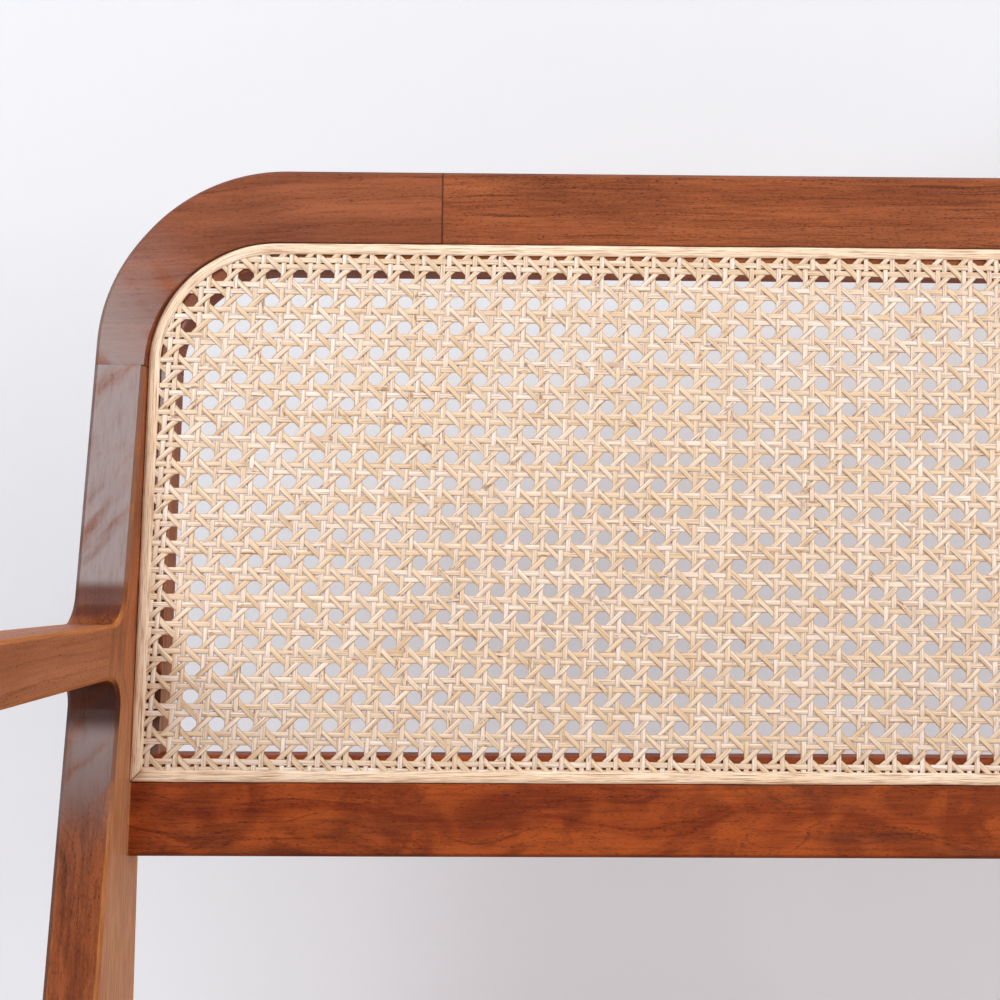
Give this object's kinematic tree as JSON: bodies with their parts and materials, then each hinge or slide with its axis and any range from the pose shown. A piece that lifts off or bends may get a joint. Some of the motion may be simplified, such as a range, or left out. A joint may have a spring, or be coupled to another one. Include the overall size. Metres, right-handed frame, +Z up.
{
  "type": "planters chair",
  "caption": "Low reclined armchair with woven cane seat and back in a wooden frame, and long flat arms with swing-out leg rests stowed under them.",
  "frame": {"origin": "bottom centre of the chair's box, on the floor", "axes": "+Z up, +Y to the back, +X to the right as seen from the front; left in a name is -X"},
  "size_m": [0.748, 0.809, 0.7511],
  "materials": {
    "teak": "oiled satin",
    "reed": "natural",
    "cane": "natural gloss",
    "brass": "aged satin",
    "nylon": "matte"
  },
  "bodies": {
    "frame": {"rear_post_left": "teak", "rear_post_right": "teak", "corner_block_left": "teak", "corner_block_right": "teak", "top_rail": "teak", "lower_back_rail": "teak", "arm_left": "teak", "arm_right": "teak", "front_leg_left": "teak", "front_leg_right": "teak", "side_rail_left": "teak", "side_rail_right": "teak", "rear_seat_rail": "teak", "front_seat_rail": "teak", "seat_corner_blocks": "teak", "back_joint_tenons": "teak", "arm_joint_tenons": "teak", "back_spline": "reed", "back_spline_lower": "reed", "seat_spline_left": "reed", "seat_spline_right": "reed", "seat_spline_rear": "reed", "seat_spline_front": "reed", "back_cane": "cane", "seat_cane": "cane", "pivot_bolts": "brass", "spacer_washers": "brass", "lower_washers": "brass", "cap_nuts": "brass", "foot_glides": "nylon"},
    "leg_rest_left": {"leg_rest_left": "teak"},
    "leg_rest_right": {"leg_rest_right": "teak"}
  },
  "joints": [
    {"name": "leg_rest_left_swing", "type": "hinge", "parent": "frame", "child": "leg_rest_left", "pos_m": [-0.344, -0.36254, 0.569], "axis": [0, 0, 1], "range_deg": [0, 180]},
    {"name": "leg_rest_right_swing", "type": "hinge", "parent": "frame", "child": "leg_rest_right", "pos_m": [0.344, -0.36254, 0.569], "axis": [0, 0, -1], "range_deg": [0, 180]}
  ]
}
